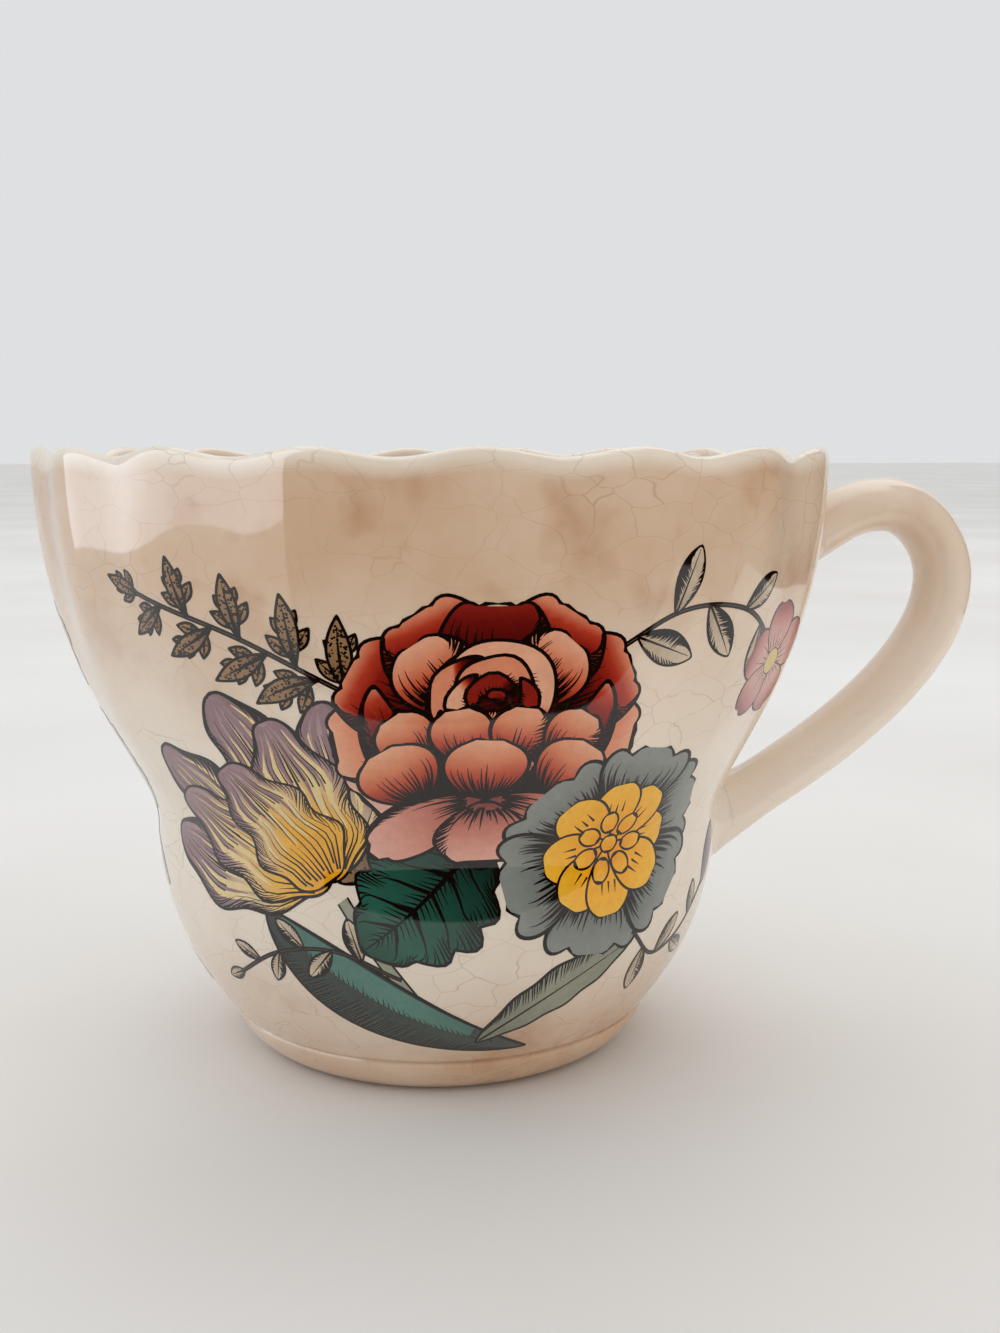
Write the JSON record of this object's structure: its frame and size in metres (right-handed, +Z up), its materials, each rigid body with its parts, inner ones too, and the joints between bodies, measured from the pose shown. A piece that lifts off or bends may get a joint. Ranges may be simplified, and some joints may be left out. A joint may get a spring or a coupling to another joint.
{
  "type": "teacup",
  "caption": "Fluted earthenware teacup with a scalloped rim, a waisted bowl on a turned foot ring, a luted loop handle and coloured flower prints on its outside.",
  "frame": {"origin": "centre of the foot ring's flat base, on the bowl's axis", "axes": "+Z up along the bowl's axis, +X towards the handle, -Y towards the front print"},
  "size_m": [0.1173, 0.096, 0.0735],
  "materials": {
    "bowl_glaze": "crazed ivory glaze over earthenware, glossy, with warm tea staining",
    "handle_glaze": "ivory glaze over earthenware, glossy",
    "bouquet_print": "engraved flower print in dark brown line with washes of red, mauve, yellow, grey and green, under gloss glaze",
    "spray_print": "engraved leaf and flower print in brown line with pale washes, under gloss glaze"
  },
  "bodies": {
    "root": {"bowl": "bowl_glaze", "foot_ring": "bowl_glaze", "handle": "handle_glaze", "upper_slip_joint": "handle_glaze", "lower_slip_joint": "handle_glaze", "front_bouquet_print": "bouquet_print", "side_spray_print": "spray_print", "back_spray_print": "spray_print"}
  },
  "joints": []
}
